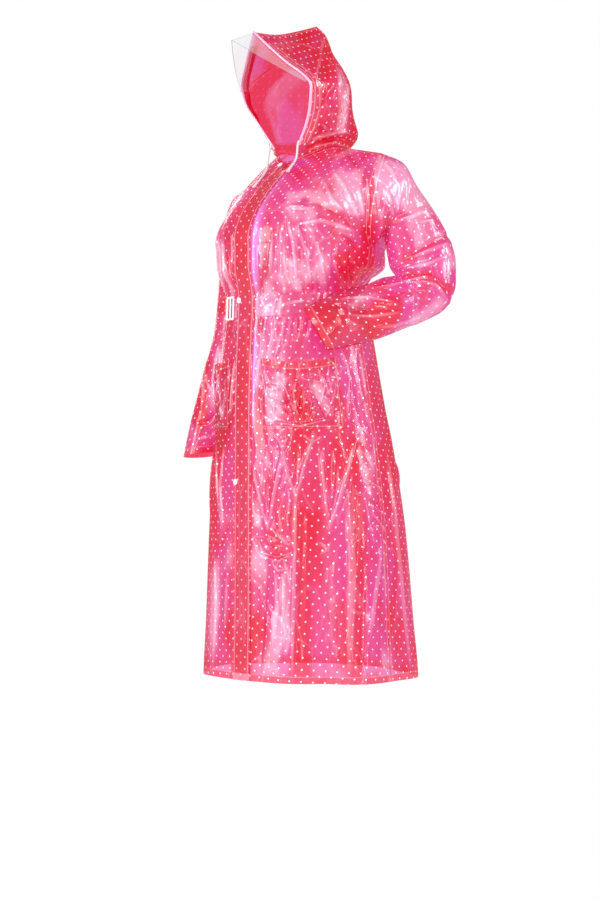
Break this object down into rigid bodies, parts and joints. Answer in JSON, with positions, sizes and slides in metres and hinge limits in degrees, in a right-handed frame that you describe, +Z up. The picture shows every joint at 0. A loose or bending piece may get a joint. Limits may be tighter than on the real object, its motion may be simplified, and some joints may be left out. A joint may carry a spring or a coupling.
{
  "type": "raincoat",
  "caption": "Long hooded raincoat of see-through dotted vinyl film, belted at the waist, with patch pockets, snap closing, drawstring and clear peak, in a worn pose",
  "frame": {"origin": "the middle of the neck at shoulder level, inside the coat, where the wearer's shoulders and neck hold it up", "axes": "+Z is up, the fronts close at -Y, +X is the wearer's left"},
  "size_m": [0.6251, 0.4253, 1.377],
  "materials": {
    "film": "glossy see-through pink vinyl film with small white printed dots",
    "film_doubled": "the same vinyl film in two or more layers, redder and less see-through",
    "binding": "pale pink glossy vinyl binding",
    "clear_film": "clear colourless vinyl",
    "white_plastic": "moulded white plastic",
    "cord": "white braided cord",
    "tag": "pale pink heat-crimped vinyl tag"
  },
  "bodies": {
    "root": {"front_left": "film", "front_right": "film", "back": "film", "sleeve_left": "film", "sleeve_right": "film", "hood_left": "film", "hood_right": "film", "hood_casing_left": "film_doubled", "hood_casing_right": "film_doubled", "hood_binding": "binding", "visor": "clear_film", "placket": "film_doubled", "pocket_left": "film", "pocket_right": "film", "belt": "film_doubled", "buckle": "white_plastic", "snap_neck": "white_plastic", "snap_belt": "white_plastic", "snap_thigh": "white_plastic", "cord_left": "cord", "cord_right": "cord", "aglet_left": "tag", "aglet_right": "tag"}
  },
  "joints": []
}
